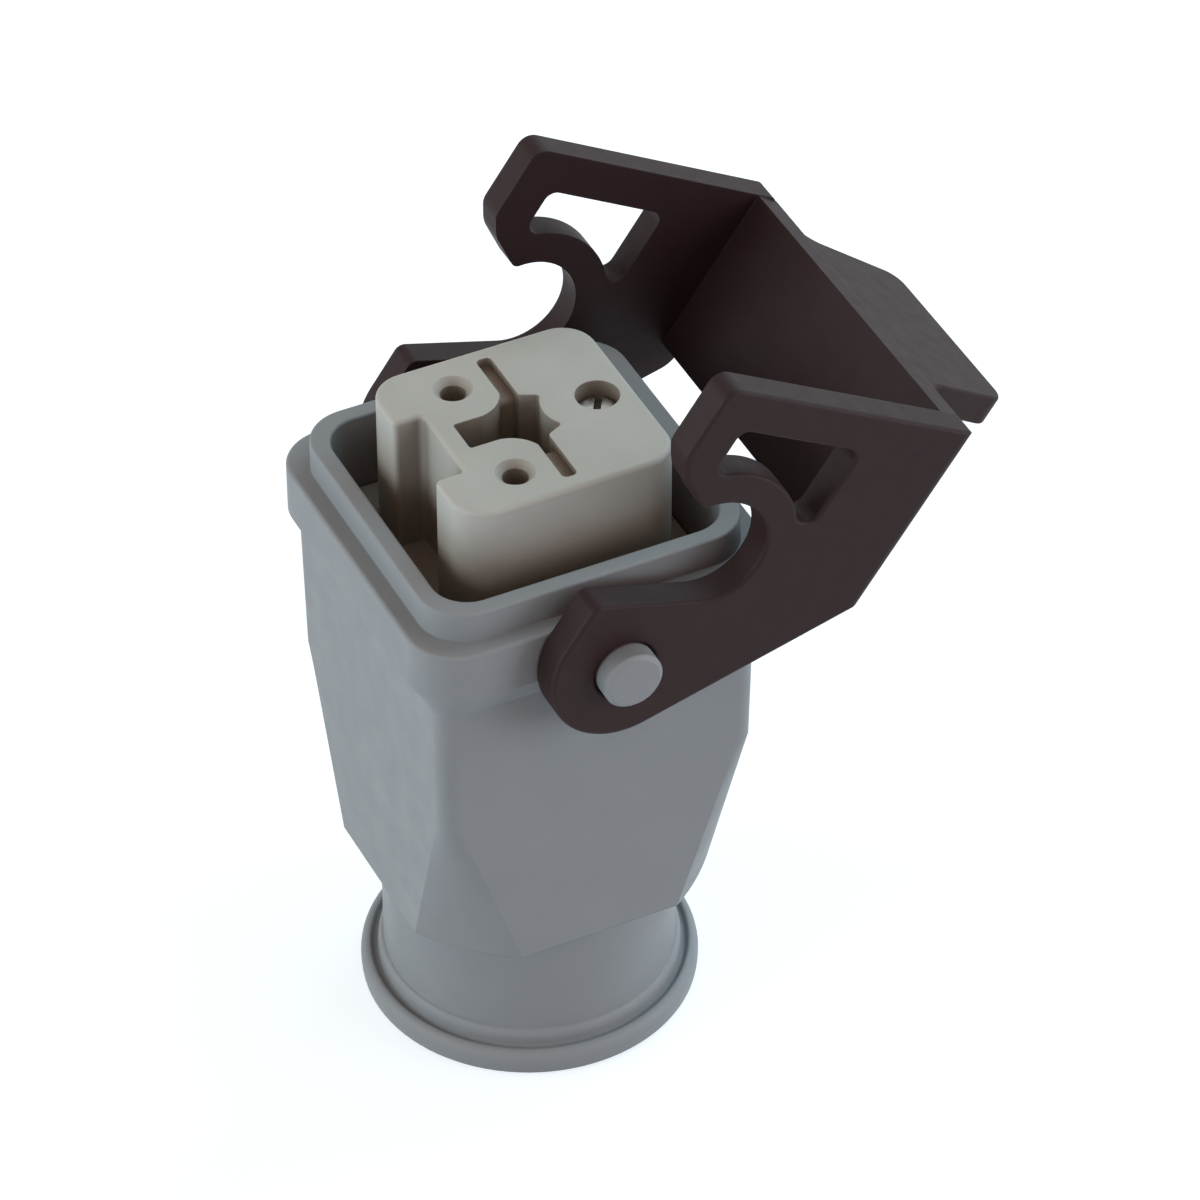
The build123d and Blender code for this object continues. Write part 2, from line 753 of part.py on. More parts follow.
# Wire guards: two alike, a leaf between screw and wire, made by a loop
for guard_name, side in (("left_wire_guard", -1), ("right_wire_guard", 1)):
    with BuildPart() as guard:
        with BuildSketch(Plane.XY.offset(contact_bottom + guard_foot)):
            with Locations((side * (screw_tip_x - guard_thickness / 2), contact_y)):
                Rectangle(guard_thickness, guard_width)
        extrude(amount=guard_length)
    guard.part.label = guard_name
    export_step(guard.part, f"parts/{guard_name}.step")

# Terminal screws: two alike, slotted set screws made by a loop
with BuildPart() as terminal_screws:
    for side in (1, -1):
        screw_outer_x = screw_tip_x + terminal_screw_length
        with BuildSketch(Plane.YZ.offset(side * screw_tip_x)):
            with Locations((contact_y, terminal_z)):
                Circle(terminal_screw_r)
        extrude(amount=side * terminal_screw_length)
        with BuildSketch(Plane.YZ.offset(side * (screw_outer_x - terminal_slot_depth))):
            with Locations((contact_y, terminal_z)):
                Rectangle(2 * terminal_screw_r + play, terminal_slot)
        extrude(amount=side * terminal_slot_depth, mode=Mode.SUBTRACT)
terminal_screws.part.label = "terminal_screws"
export_step(terminal_screws.part, "parts/terminal_screws.step")

# Earth plate: a stamping under the insert with two leaves up into its opening
with BuildPart() as earth_plate:
    arm_left_x = earth_screw_x - earth_arm / 2
    arm_right_x = earth_screw_x + earth_arm / 2
    with BuildSketch(Plane.XY.offset(boss_top)):
        with Locations((0, (plate_front_y + screw_y) / 2)):
            Rectangle(2 * tongue_half, screw_y - plate_front_y)
        with Locations((0, screw_y)):
            Circle(tongue_end_r)
        with Locations((arm_right_x / 2, plate_front_y + link_width / 2)):
            Rectangle(arm_right_x, link_width)
        with Locations((earth_screw_x, plate_front_y + earth_arm_length / 2)):
            Rectangle(earth_arm, earth_arm_length)
        with Locations((0, screw_y)):
            Circle(plate_hole_r, mode=Mode.SUBTRACT)
        with Locations((earth_screw_x, earth_screw_y)):
            Circle(terminal_screw_r + thread_play, mode=Mode.SUBTRACT)
    extrude(amount=plate_thickness)
    with BuildSketch(Plane.XY.offset(insert_underside)):
        with Locations(
            (leaf_x, leaf_low_y + leaf_width / 2),
            (-leaf_x, leaf_low_y + leaf_width / 2),
        ):
            Rectangle(leaf_thickness, leaf_width)
    extrude(amount=leaf_rise)
earth_plate.part.label = "earth_plate"
export_step(earth_plate.part, "parts/earth_plate.step")

# Earth clamp washer: holds the earth wire against the plate
with BuildPart() as earth_clamp_washer:
    with BuildSketch(Plane.XY.offset(clamp_bottom)):
        with Locations((earth_screw_x, earth_screw_y)):
            RectangleRounded(clamp_side, clamp_side, clamp_corner_r)
            Circle(clamp_hole_r, mode=Mode.SUBTRACT)
    extrude(amount=clamp_thickness)
earth_clamp_washer.part.label = "earth_clamp_washer"
export_step(earth_clamp_washer.part, "parts/earth_clamp_washer.step")

# Earth terminal screw, its head facing the cable entry
with BuildPart() as earth_terminal_screw:
    earth_head_bottom = clamp_bottom - earth_head_height
    with BuildSketch(Plane.XY.offset(earth_head_bottom)):
        with Locations((earth_screw_x, earth_screw_y)):
            Circle(earth_head_r)
    extrude(amount=earth_head_height)
    fillet(earth_terminal_screw.edges().group_by(Axis.Z)[0], earth_head_round)
    with BuildSketch(Plane.XY.offset(clamp_bottom)):
        with Locations((earth_screw_x, earth_screw_y)):
            Circle(terminal_screw_r)
    extrude(amount=earth_screw_length)
    with BuildSketch(Plane.XY.offset(earth_head_bottom)):
        with Locations((earth_screw_x, earth_screw_y)):
            Rectangle(2 * earth_head_r + play, earth_head_slot)
    extrude(amount=earth_slot_depth, mode=Mode.SUBTRACT)
earth_terminal_screw.part.label = "earth_terminal_screw"
export_step(earth_terminal_screw.part, "parts/earth_terminal_screw.step")

# Fixing screw: slotted cheese head in the tower's well
with BuildPart() as fixing_screw:
    with BuildSketch(Plane.XY.offset(head_seat)):
        with Locations((0, screw_y)):
            Circle(screw_head_r)
    extrude(amount=screw_head_height)
    fillet(fixing_screw.edges().group_by(Axis.Z)[-1], screw_head_round)
    with BuildSketch(Plane.XY.offset(head_seat - screw_length)):
        with Locations((0, screw_y)):
            Circle(screw_shank_r)
    extrude(amount=screw_length)
    with BuildSketch(Plane.XY.offset(head_top - screw_slot_depth)):
        with Locations(Location((0, screw_y), screw_slot_angle)):
            Rectangle(2 * screw_head_r + play, screw_slot)
    extrude(amount=screw_slot_depth, mode=Mode.SUBTRACT)
fixing_screw.part.label = "fixing_screw"
export_step(fixing_screw.part, "parts/fixing_screw.step")

# Washer under the fixing screw's head
with BuildPart() as fixing_screw_washer:
    with BuildSketch(Plane.XY.offset(washer_bottom)):
        with Locations((0, screw_y)):
            Circle(screw_head_r)
            Circle(screw_shank_r + screw_clearance, mode=Mode.SUBTRACT)
    extrude(amount=washer_thickness)
fixing_screw_washer.part.label = "fixing_screw_washer"
export_step(fixing_screw_washer.part, "parts/fixing_screw_washer.step")
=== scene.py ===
import math

import bmesh
import bpy
from mathutils import Matrix, Vector


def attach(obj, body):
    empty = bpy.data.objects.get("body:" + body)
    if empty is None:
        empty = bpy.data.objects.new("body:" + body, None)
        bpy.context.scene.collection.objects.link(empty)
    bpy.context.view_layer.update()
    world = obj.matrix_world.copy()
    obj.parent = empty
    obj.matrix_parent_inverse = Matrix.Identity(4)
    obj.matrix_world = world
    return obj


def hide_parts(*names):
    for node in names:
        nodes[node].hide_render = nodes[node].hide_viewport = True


MM = 0.001
SAME_PLACE = 0.005 * MM
WHITE = (1, 1, 1, 1)

# Radii of the edges that shading rounds, and the rays that it takes.
CAST_EDGE = 0.2 * MM
MOULDED_EDGE = 0.15 * MM
EDGE_RAYS = 6

# How far away a surface still shades a hollow, the rays that find it and the colours of the shade.
HOLLOW_REACH = 6 * MM
HOLLOW_RAYS = 8
CAST_SHADE = (0.72, 0.71, 0.7, 1)
HOOD_SHADE = (1, 0.65, 0.54, 1)
INSERT_SHADE = (0.54, 0.46, 0.42, 1)

# Openness at which a hollow of the housing is shaded in full and at which it isn't,
# and the heights between which the shade turns warm inside the hood.
CAST_SHUT = 0.12
CAST_OPEN = 0.42
WARM_FROM_Z = 15 * MM
WARM_FULL_Z = 35 * MM

# The stage, in metres, with its colours as the camera and the object meet them.
FLOOR_HALF = 6.0
FLOOR_PAPER = (0.48, 0.51, 0.54, 1)
FLOOR_GLOW = (0.68, 0.74, 0.77, 1)
WARM_FILL = (0.42, 0.27, 0.2, 1)
LIT_CENTRE = Vector((0, 0, 0.035))
LAMP_DISTANCE = 1.0
LAMP_SIZE = 0.8

# The base ring's outer profile above its foot, as radius and height.
RING_BAND_LOW = 0.3 * MM
RING_BAND_HIGH = 3.8 * MM
NECK_R = 12.2 * MM
RING_R = 14.0 * MM
RING_BULGE = 0.14 * MM
CROWN_R = 13.4 * MM
CROWN_FOOT_Z = 1.4 * MM
CROWN_Z = 2.45 * MM
GROOVE_R = 12.66 * MM
GROOVE_Z = 2.12 * MM
GROOVE_FILLET = 0.3 * MM
BEAD_FOOT_Z = 2.8 * MM
BEAD_TOP_Z = 3.7 * MM
ARC_STEPS = 10
OUTWARD = (1.0, 0.0)
BEARING_DIGITS = 5

# The gland's thread in the cable entry: M20 x 1.5, with both ends run out over part of a turn.
THREAD_PITCH = 1.5 * MM
THREAD_ROOT_R = 10.0 * MM
THREAD_CREST_R = 9.19 * MM
THREAD_START = 0.9 * MM
THREAD_END = 13.2 * MM
THREAD_STEPS = 72
THREAD_RUN_OUT = 1 / 3
THREAD_DEPTH = THREAD_ROOT_R - THREAD_CREST_R
THREAD_ROOT_HALF = 7 / 16 * THREAD_PITCH
THREAD_CREST_HALF = THREAD_ROOT_HALF - THREAD_DEPTH * math.tan(math.radians(30))
THREAD_EMBED = 0.05 * MM

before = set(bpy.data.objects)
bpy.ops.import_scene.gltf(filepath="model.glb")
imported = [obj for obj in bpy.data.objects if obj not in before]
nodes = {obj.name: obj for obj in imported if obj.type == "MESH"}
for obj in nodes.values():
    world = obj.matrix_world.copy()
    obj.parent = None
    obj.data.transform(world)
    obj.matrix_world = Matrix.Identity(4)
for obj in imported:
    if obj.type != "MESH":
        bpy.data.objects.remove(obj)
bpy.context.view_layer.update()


# Materials. Every one is made of nodes in the object's own coordinates, in metres.


def linear(red, green, blue):
    """Scene-linear colour of an 8-bit display colour."""
    values = []
    for value in (red, green, blue):
        shown = value / 255
        values.append(shown / 12.92 if shown <= 0.04045 else ((shown + 0.055) / 1.055) ** 2.4)
    return (*values, 1.0)


def new_material(name):
    """A material with its node tree, its shader and the object's own coordinates."""
    material = bpy.data.materials.new(name)
    material.use_nodes = True
    tree = material.node_tree
    shader = tree.nodes["Principled BSDF"]
    coordinates = tree.nodes.new("ShaderNodeTexCoord")
    return material, tree, shader, coordinates.outputs["Object"]


def noise(tree, vector, scale, detail, roughness=0.5):
    """Noise from 0 to 1, with its scale in cells per metre."""
    texture = tree.nodes.new("ShaderNodeTexNoise")
    texture.inputs["Scale"].default_value = scale
    texture.inputs["Detail"].default_value = detail
    texture.inputs["Roughness"].default_value = roughness
    tree.links.new(vector, texture.inputs["Vector"])
    return texture.outputs["Fac"]


def spread(tree, value, low, high, source_low=0.3, source_high=0.7):
    """Maps a value to the range low to high, which it doesn't leave."""
    mapping = tree.nodes.new("ShaderNodeMapRange")
    mapping.inputs["From Min"].default_value = source_low
    mapping.inputs["From Max"].default_value = source_high
    mapping.inputs["To Min"].default_value = low
    mapping.inputs["To Max"].default_value = high
    tree.links.new(value, mapping.inputs["Value"])
    return mapping.outputs["Result"]


def tint(tree, value, dark, light):
    """Mixes two colours by a value from 0 to 1."""
    mix = tree.nodes.new("ShaderNodeMix")
    mix.data_type = "RGBA"
    mix.inputs["A"].default_value = dark
    mix.inputs["B"].default_value = light
    tree.links.new(value, mix.inputs["Factor"])
    return mix.outputs["Result"]


def bump(tree, height, distance, under=None):
    """Shading normal of a height field, over another normal where one is given."""
    node = tree.nodes.new("ShaderNodeBump")
    node.inputs["Strength"].default_value = 1.0
    node.inputs["Distance"].default_value = distance
    tree.links.new(height, node.inputs["Height"])
    if under is not None:
        tree.links.new(under, node.inputs["Normal"])
    return node.outputs["Normal"]


def soft_edge(tree, radius):
    """Shading normal that rounds sharp edges by a moulding's small radius."""
    node = tree.nodes.new("ShaderNodeBevel")
    node.samples = EDGE_RAYS
    node.inputs["Radius"].default_value = radius
    return node.outputs["Normal"]


def above(tree, vector, low, high):
    """Nought below one height, one above another and a blend between them."""
    parts = tree.nodes.new("ShaderNodeSeparateXYZ")
    tree.links.new(vector, parts.inputs["Vector"])
    return spread(tree, parts.outputs["Z"], 0, 1, low, high)


def shaded_hollows(tree, colour, shade, shut_at, open_at, where=None):
    """Deepens a colour where surfaces close by keep the light out, or only where it is asked."""
    hollow = tree.nodes.new("ShaderNodeAmbientOcclusion")
    hollow.samples = HOLLOW_RAYS
    hollow.inputs["Distance"].default_value = HOLLOW_REACH
    hidden = spread(tree, hollow.outputs["AO"], 1, 0, shut_at, open_at)
    if where is not None:
        gate = tree.nodes.new("ShaderNodeMath")
        gate.operation = "MULTIPLY"
        tree.links.new(hidden, gate.inputs[0])
        tree.links.new(where, gate.inputs[1])
        hidden = gate.outputs["Value"]
    mix = tree.nodes.new("ShaderNodeMix")
    mix.data_type = "RGBA"
    mix.blend_type = "MULTIPLY"
    mix.inputs["B"].default_value = shade
    tree.links.new(colour, mix.inputs["A"])
    tree.links.new(hidden, mix.inputs["Factor"])
    return mix.outputs["Result"]


def stretched(tree, vector, scale):
    """Coordinates with a scale of their own along each axis."""
    mapping = tree.nodes.new("ShaderNodeMapping")
    mapping.inputs["Scale"].default_value = scale
    tree.links.new(vector, mapping.inputs["Vector"])
    return mapping.outputs["Vector"]


def cast_paint():
    """Powder coat on a die casting: soft orange peel over a faint cast waviness."""
    material, tree, shader, vector = new_material("cast_paint")
    cloud = spread(tree, noise(tree, vector, scale=160, detail=4), 0, 1)
    colour = tint(tree, cloud, linear(137, 146, 151), linear(140, 149, 154))
    colour = shaded_hollows(tree, colour, CAST_SHADE, CAST_SHUT, CAST_OPEN)
    in_hood = above(tree, vector, WARM_FROM_Z, WARM_FULL_Z)
    colour = shaded_hollows(tree, colour, HOOD_SHADE, CAST_SHUT, CAST_OPEN, in_hood)
    tree.links.new(colour, shader.inputs["Base Color"])
    patch = spread(tree, noise(tree, vector, scale=420, detail=2), 0.46, 0.58)
    tree.links.new(patch, shader.inputs["Roughness"])
    waviness = noise(tree, vector, scale=260, detail=1)
    wave = bump(tree, waviness, distance=0.01 * MM, under=soft_edge(tree, CAST_EDGE))
    orange_peel = noise(tree, vector, scale=2200, detail=2)
    peel = bump(tree, orange_peel, distance=0.006 * MM, under=wave)
    tree.links.new(peel, shader.inputs["Normal"])
    shader.inputs["Specular IOR Level"].default_value = 0.3
    return material


def lever_plastic():
    """Glass-filled nylon: dark, with a fine eroded grain and a dry sheen."""
    material, tree, shader, vector = new_material("lever_nylon")
    cloud = spread(tree, noise(tree, vector, scale=300, detail=5), 0, 1)
    colour = tint(tree, cloud, linear(37, 22, 23), linear(40, 23, 24))
    tree.links.new(colour, shader.inputs["Base Color"])
    patch = spread(tree, noise(tree, vector, scale=700, detail=3), 0.54, 0.6)
    tree.links.new(patch, shader.inputs["Roughness"])
    erosion = noise(tree, vector, scale=3600, detail=3, roughness=0.6)
    grain = bump(tree, erosion, distance=0.012 * MM, under=soft_edge(tree, MOULDED_EDGE))
    tree.links.new(grain, shader.inputs["Normal"])
    shader.inputs["Specular IOR Level"].default_value = 0.2
    return material


def insert_plastic():
    """Smooth light grey polycarbonate moulding."""
    material, tree, shader, vector = new_material("insert_polycarbonate")
    cloud = spread(tree, noise(tree, vector, scale=200, detail=3), 0, 1)
    colour = tint(tree, cloud, linear(176, 183, 179), linear(183, 190, 186))
    colour = shaded_hollows(tree, colour, INSERT_SHADE, shut_at=0.6, open_at=0.98)
    tree.links.new(colour, shader.inputs["Base Color"])
    patch = spread(tree, noise(tree, vector, scale=500, detail=2), 0.38, 0.5)
    tree.links.new(patch, shader.inputs["Roughness"])
    fine_grain = noise(tree, vector, scale=2600, detail=2)
    grain = bump(tree, fine_grain, distance=0.005 * MM, under=soft_edge(tree, MOULDED_EDGE))
    tree.links.new(grain, shader.inputs["Normal"])
    shader.inputs["Specular IOR Level"].default_value = 0.35
    shader.inputs["Subsurface Weight"].default_value = 0.08
    shader.inputs["Subsurface Scale"].default_value = 0.6 * MM
    return material


def metal(name, dark, light, roughness, grain_scale):
    """Worked metal with fine tool marks, whose scale is given along each axis."""
    material, tree, shader, vector = new_material(name)
    shader.inputs["Metallic"].default_value = 1.0
    cloud = spread(tree, noise(tree, vector, scale=900, detail=3), 0, 1)
    colour = tint(tree, cloud, dark, light)
    tree.links.new(colour, shader.inputs["Base Color"])
    spots = noise(tree, vector, scale=1500, detail=2)
    patch = spread(tree, spots, roughness - 0.06, roughness + 0.08)
    tree.links.new(patch, shader.inputs["Roughness"])
    marks = noise(tree, stretched(tree, vector, grain_scale), scale=1.0, detail=2)
    tree.links.new(bump(tree, marks, distance=0.008 * MM), shader.inputs["Normal"])
    return material


paint = cast_paint()
nylon = lever_plastic()
polycarbonate = insert_plastic()
plated_steel = metal(
    "zinc_plated_steel",
    linear(150, 148, 142),
    linear(188, 186, 180),
    roughness=0.28,
    grain_scale=(900, 900, 5200),
)
brass = metal(
    "contact_brass",
    linear(176, 140, 78),
    linear(206, 172, 104),
    roughness=0.3,
    grain_scale=(800, 800, 4800),
)

finishes = {
    "housing": paint,
    "locking_lever": nylon,
    "insert_body": polycarbonate,
    "contact_retainer": polycarbonate,
    "left_contact": brass,
    "right_contact": brass,
    "left_wire_guard": plated_steel,
    "right_wire_guard": plated_steel,
    "terminal_screws": plated_steel,
    "earth_plate": brass,
    "earth_clamp_washer": plated_steel,
    "earth_terminal_screw": plated_steel,
    "fixing_screw": plated_steel,
    "fixing_screw_washer": plated_steel,
}
for name, material in finishes.items():
    mesh = nodes[name].data
    mesh.materials.clear()
    mesh.materials.append(material)


# The housing with the full, soft profile of its base ring.


def quarter_arc(centre, reach, start, end):
    """Points of an ellipse from one angle to another, both in degrees."""
    points = []
    for step in range(ARC_STEPS + 1):
        angle = math.radians(start + (end - start) * step / ARC_STEPS)
        points.append((centre[0] + reach[0] * math.cos(angle), centre[1] + reach[1] * math.sin(angle)))
    return points


def ring_profile():
    """Up the bulged side, over the crown, down into the groove and up the bead to the neck."""
    side = quarter_arc((RING_R, CROWN_FOOT_Z), (RING_BULGE, CROWN_FOOT_Z - RING_BAND_LOW), -90, 0)
    crown_reach = (RING_R + RING_BULGE - CROWN_R, CROWN_Z - CROWN_FOOT_Z)
    crown = quarter_arc((CROWN_R, CROWN_FOOT_Z), crown_reach, 0, 90)
    groove_start = GROOVE_R + GROOVE_FILLET
    slope = []
    for step in range(1, ARC_STEPS):
        share = step / ARC_STEPS
        fall = (1 - math.cos(math.pi * share)) / 2
        radius = CROWN_R + (groove_start - CROWN_R) * share
        slope.append((radius, CROWN_Z + (GROOVE_Z - CROWN_Z) * fall))
    fillet_centre = (groove_start, GROOVE_Z + GROOVE_FILLET)
    fillet = quarter_arc(fillet_centre, (GROOVE_FILLET, GROOVE_FILLET), 270, 180)
    bead = quarter_arc((NECK_R, BEAD_FOOT_Z), (GROOVE_R - NECK_R, BEAD_TOP_Z - BEAD_FOOT_Z), 0, 90)
    return side[:-1] + crown + slope + fillet + bead


def profile_normals(profile):
    """Outward normal in the profile's plane at each of its points."""
    normals = []
    last = len(profile) - 1
    for index in range(len(profile)):
        before = profile[max(index - 1, 0)]
        after = profile[min(index + 1, last)]
        along = Vector((after[0] - before[0], after[1] - before[1])).normalized()
        normals.append((along.y, -along.x))
    normals[0] = OUTWARD
    return normals


def bearings(mesh, radius, height):
    """Sorted angles of the mesh's points on one circle round Z."""
    found = set()
    for point in mesh.vertices:
        off_circle = abs(math.hypot(point.co.x, point.co.y) - radius)
        if off_circle < SAME_PLACE and abs(point.co.z - height) < SAME_PLACE:
            found.add(round(math.atan2(point.co.y, point.co.x), BEARING_DIGITS))
    return sorted(found)


def zipped(lower, upper):
    """Triangles between two closed loops of angles, as steps along the lower or the upper loop."""
    steps = []
    low, high = 0, 0
    while low < len(lower) or high < len(upper):
        next_low = lower[low + 1] if low + 1 < len(lower) else lower[0] + math.tau
        next_high = upper[high + 1] if high + 1 < len(upper) else upper[0] + math.tau
        take_low = high >= len(upper) or (low < len(lower) and next_low <= next_high)
        steps.append(("lower" if take_low else "upper", low % len(lower), high % len(upper)))
        if take_low:
            low += 1
        else:
            high += 1
    return steps


def turned(normal, angle):
    """A normal of the profile, swung round Z to a bearing."""
    return (normal[0] * math.cos(angle), normal[0] * math.sin(angle), normal[1])


class Skin:
    """Points, faces and corner normals of a mesh that is put together."""

    def __init__(self):
        self.places = []
        self.faces = []
        self.normals = []

    def add_row(self, angles, radius, height):
        """Points on a circle round Z. Gives the number of the first."""
        first = len(self.places)
        for angle in angles:
            self.places.append((radius * math.cos(angle), radius * math.sin(angle), height))
        return first

    def add_face(self, corners):
        """One face, from a point's number and a normal for each corner."""
        self.faces.append([number for number, normal in corners])
        self.normals.extend(normal for number, normal in corners)


def in_ring_band(place):
    """Whether a point of the housing lies on the part of the base ring that is turned anew."""
    level = RING_BAND_LOW - SAME_PLACE < place.z < RING_BAND_HIGH + SAME_PLACE
    return level and math.hypot(place.x, place.y) > NECK_R - 2 * SAME_PLACE


def keep_outside_band(skin, mesh):
    """Copies the faces that lie outside the ring band, with their own normals."""
    kept = {}
    for polygon in mesh.polygons:
        if all(in_ring_band(mesh.vertices[index].co) for index in polygon.vertices):
            continue
        corners = []
        for index, corner in zip(polygon.vertices, polygon.loop_indices):
            if index not in kept:
                kept[index] = len(skin.places)
                skin.places.append(tuple(mesh.vertices[index].co))
            corners.append((kept[index], tuple(mesh.corner_normals[corner].vector)))
        skin.add_face(corners)


def turn_profile(skin, angles, profile):
    """Turns the profile round Z. Gives the number of the top row's first point."""
    facing = profile_normals(profile)
    rows = [skin.add_row(angles, radius, height) for radius, height in profile]
    for line in range(len(rows) - 1):
        for step in range(len(angles)):
            following = (step + 1) % len(angles)
            square = ((line, step), (line, following), (line + 1, following), (line + 1, step))
            corners = []
            for row, place in square:
                corners.append((rows[row] + place, turned(facing[row], angles[place])))
            skin.add_face(corners)
    return rows[-1]


def join_rows(skin, lower_row, lower, upper_row, upper):
    """Closes the skin between two rows whose points stand at different bearings."""
    for side, low, high in zipped(lower, upper):
        corners = [(lower_row + low, lower[low]), (upper_row + high, upper[high])]
        if side == "lower":
            following = (low + 1) % len(lower)
            corners.insert(1, (lower_row + following, lower[following]))
        else:
            following = (high + 1) % len(upper)
            corners.insert(1, (upper_row + following, upper[following]))
        skin.add_face([(number, turned(OUTWARD, angle)) for number, angle in corners])


def hood_shell():
    """The housing's own surface, with the outside of its base ring turned anew."""
    source = nodes["housing"].data
    lower = bearings(source, RING_R, RING_BAND_LOW)
    upper = bearings(source, NECK_R, RING_BAND_HIGH)
    skin = Skin()
    keep_outside_band(skin, source)
    bead_row = turn_profile(skin, lower, ring_profile())
    neck_row = skin.add_row(upper, NECK_R, RING_BAND_HIGH)
    join_rows(skin, bead_row, lower, neck_row, upper)
    mesh = bpy.data.meshes.new("hood_shell")
    mesh.from_pydata(skin.places, [], skin.faces)
    mesh.shade_smooth()
    mesh.normals_split_custom_set(skin.normals)
    mesh.materials.append(paint)
    shell = bpy.data.objects.new("hood_shell", mesh)
    bpy.context.scene.collection.objects.link(shell)
    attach(shell, "hood")
    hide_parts("housing")


hood_shell()


# The gland's thread, cut into the plain bore of the cable entry.


def ridge_section(share):
    """Radius and rise of the ridge's corners, at a share of its full depth."""
    crest_r = THREAD_ROOT_R - THREAD_DEPTH * share
    tip_half = THREAD_ROOT_HALF - (THREAD_ROOT_HALF - THREAD_CREST_HALF) * share
    return (
        (THREAD_ROOT_R + THREAD_EMBED, -THREAD_ROOT_HALF),
        (THREAD_ROOT_R, -THREAD_ROOT_HALF),
        (crest_r, -tip_half),
        (crest_r, tip_half),
        (THREAD_ROOT_R, THREAD_ROOT_HALF),
        (THREAD_ROOT_R + THREAD_EMBED, THREAD_ROOT_HALF),
    )


def entry_thread():
    """One ridge wound up the bore, with its flanks at 60 degrees and both ends run out."""
    turns = (THREAD_END - THREAD_START) / THREAD_PITCH
    steps = round(turns * THREAD_STEPS)
    run_out = THREAD_STEPS * THREAD_RUN_OUT
    builder = bmesh.new()
    rings = []
    for step in range(steps + 1):
        angle = step / THREAD_STEPS * math.tau
        middle = THREAD_START + step / THREAD_STEPS * THREAD_PITCH
        share = min(1.0, (step + 1) / run_out, (steps - step + 1) / run_out)
        ring = []
        for radius, rise in ridge_section(share):
            place = (radius * math.cos(angle), radius * math.sin(angle), middle + rise)
            ring.append(builder.verts.new(place))
        rings.append(ring)
    for before, after in zip(rings, rings[1:]):
        for side in range(len(before)):
            following = (side + 1) % len(before)
            builder.faces.new((before[side], before[following], after[following], after[side]))
    builder.faces.new(rings[0])
    builder.faces.new(reversed(rings[-1]))
    bmesh.ops.recalc_face_normals(builder, faces=builder.faces)
    mesh = bpy.data.meshes.new("cable_entry_thread")
    builder.to_mesh(mesh)
    builder.free()
    thread = bpy.data.objects.new("cable_entry_thread", mesh)
    bpy.context.scene.collection.objects.link(thread)
    mesh.materials.append(paint)
    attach(thread, "hood")


entry_thread()


# Stage: a pale floor, a pale world and soft lamps.


def shown_rays(tree):
    """One for the rays that show the background itself, nought for those that only light the object."""
    path = tree.nodes.new("ShaderNodeLightPath")
    shown = path.outputs["Is Camera Ray"]
    for kind in ("Is Glossy Ray", "Is Transmission Ray"):
        larger = tree.nodes.new("ShaderNodeMath")
        larger.operation = "MAXIMUM"
        tree.links.new(shown, larger.inputs[0])
        tree.links.new(path.outputs[kind], larger.inputs[1])
        shown = larger.outputs["Value"]
    return shown


def stage_floor():
    """Pale paper that shows white and still takes the object's shadow."""
    mesh = bpy.data.meshes.new("floor")
    builder = bmesh.new()
    bmesh.ops.create_grid(builder, x_segments=1, y_segments=1, size=FLOOR_HALF)
    builder.to_mesh(mesh)
    builder.free()
    floor = bpy.data.objects.new("floor", mesh)
    bpy.context.scene.collection.objects.link(floor)
    material = bpy.data.materials.new("floor_paper")
    material.use_nodes = True
    tree = material.node_tree
    shader = tree.nodes["Principled BSDF"]
    shader.inputs["Base Color"].default_value = FLOOR_PAPER
    shader.inputs["Roughness"].default_value = 0.9
    shader.inputs["Specular IOR Level"].default_value = 0.0
    shader.inputs["Emission Color"].default_value = FLOOR_GLOW
    tree.links.new(shown_rays(tree), shader.inputs["Emission Strength"])
    floor.data.materials.append(material)


def world_light():
    """White where it is seen, and a weak warm fill where it only lights."""
    world = bpy.data.worlds.new("studio")
    bpy.context.scene.world = world
    world.use_nodes = True
    tree = world.node_tree
    background = tree.nodes["Background"]
    level = tree.nodes.new("ShaderNodeMix")
    level.data_type = "RGBA"
    level.inputs["A"].default_value = WARM_FILL
    level.inputs["B"].default_value = WHITE
    tree.links.new(shown_rays(tree), level.inputs["Factor"])
    tree.links.new(level.outputs["Result"], background.inputs["Color"])


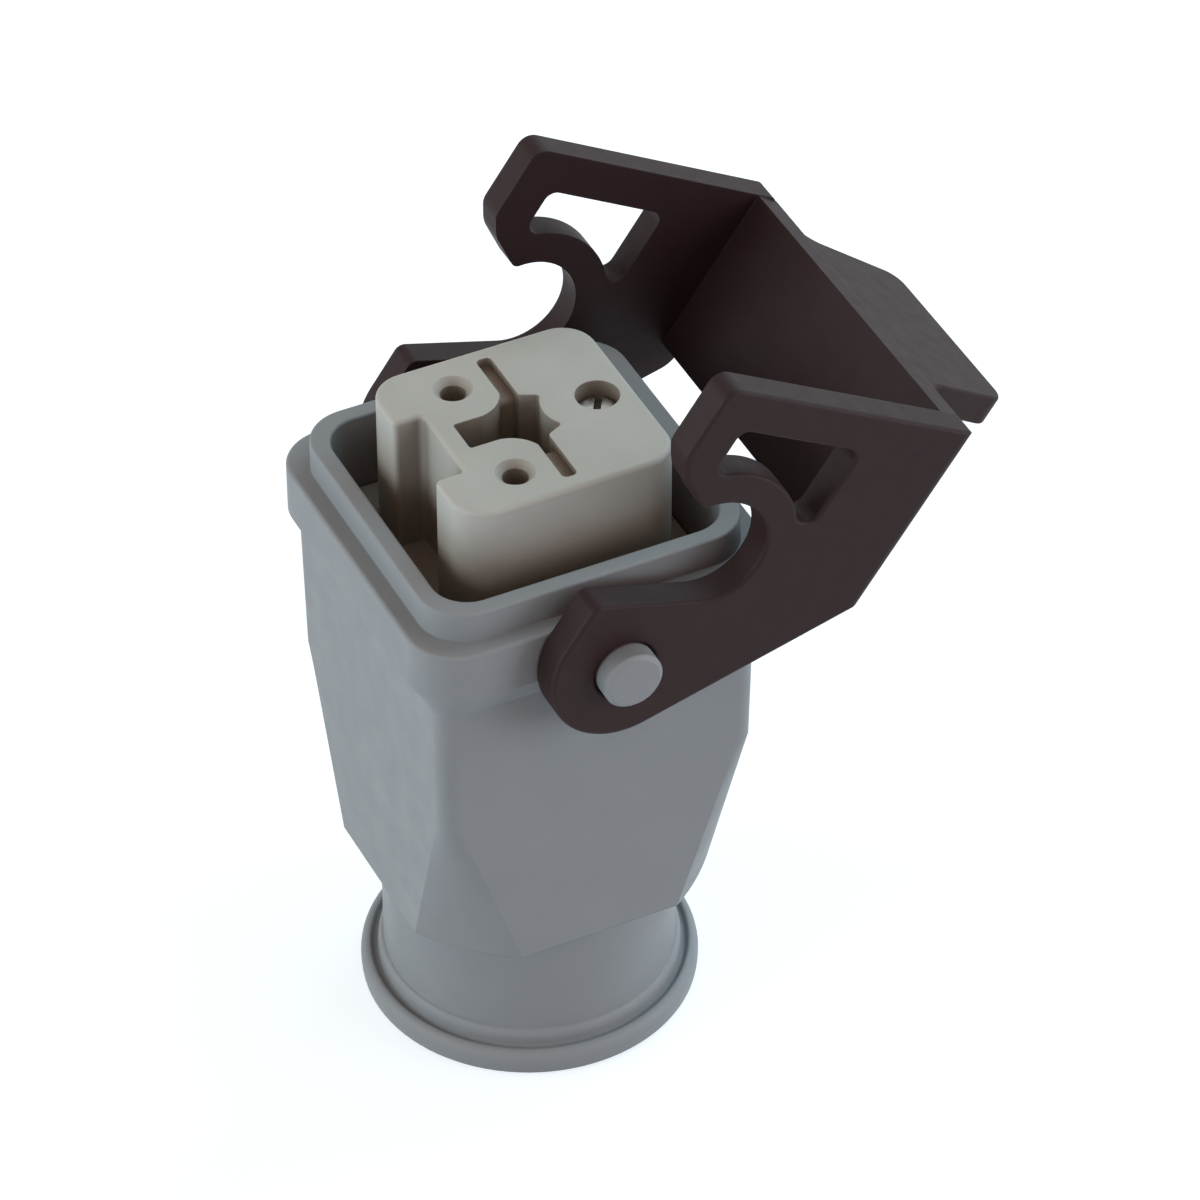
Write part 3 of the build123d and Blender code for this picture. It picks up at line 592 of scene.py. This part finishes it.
def soft_lamp(name, azimuth, elevation, power, colour):
    """Square lamp a metre away, on a bearing counted as the camera's is."""
    data = bpy.data.lights.new(name, "AREA")
    data.shape = "SQUARE"
    data.size = LAMP_SIZE
    data.energy = power
    data.color = colour
    lamp = bpy.data.objects.new(name, data)
    turn, rise = math.radians(azimuth), math.radians(elevation)
    away = Vector((math.sin(turn) * math.cos(rise), -math.cos(turn) * math.cos(rise), math.sin(rise)))
    lamp.location = LIT_CENTRE + away * LAMP_DISTANCE
    lamp.rotation_mode = "QUATERNION"
    lamp.rotation_quaternion = (-away).to_track_quat("-Z", "Y")
    lamp.visible_camera = False
    bpy.context.scene.collection.objects.link(lamp)


stage_floor()
world_light()
soft_lamp("left_side", azimuth=-10, elevation=8, power=7.3, colour=(0.89, 0.99, 1))
soft_lamp("right_side", azimuth=140, elevation=8, power=7.5, colour=(0.9, 0.93, 1))
soft_lamp("back_high", azimuth=200, elevation=40, power=5.0, colour=(0.55, 0.87, 1))
soft_lamp("front_fill", azimuth=25, elevation=8, power=2.2, colour=(0.7, 0.8, 1))


# The photograph's camera. Azimuth 0 looks along +Y, and the eye is in metres.
AZIMUTH = math.radians(64.042)
ELEVATION = math.radians(40.739)
ROLL = math.radians(-0.133)
EYE = Vector((0.34273, -0.16021, 0.36538))
LENS = 187.44
SENSOR = 36
CLIP_NEAR = 0.01
CLIP_FAR = 20


def photo_camera():
    """The camera at the photograph's place, turned by azimuth, elevation and roll."""
    rise = math.sin(ELEVATION)
    flat = math.cos(ELEVATION)
    back = Vector((math.sin(AZIMUTH) * flat, -math.cos(AZIMUTH) * flat, rise))
    level_right = Vector((math.cos(AZIMUTH), math.sin(AZIMUTH), 0))
    level_up = back.cross(level_right)
    right = level_right * math.cos(ROLL) + level_up * math.sin(ROLL)
    up = level_up * math.cos(ROLL) - level_right * math.sin(ROLL)
    data = bpy.data.cameras.new("camera")
    data.lens = LENS
    data.sensor_width = SENSOR
    data.clip_start = CLIP_NEAR
    data.clip_end = CLIP_FAR
    camera = bpy.data.objects.new("camera", data)
    bpy.context.scene.collection.objects.link(camera)
    turn = Matrix((right, up, back)).transposed()
    camera.matrix_world = Matrix.Translation(EYE) @ turn.to_4x4()
    bpy.context.scene.camera = camera


photo_camera()

bpy.context.scene.view_settings.view_transform = "Standard"

bpy.context.view_layer.update()
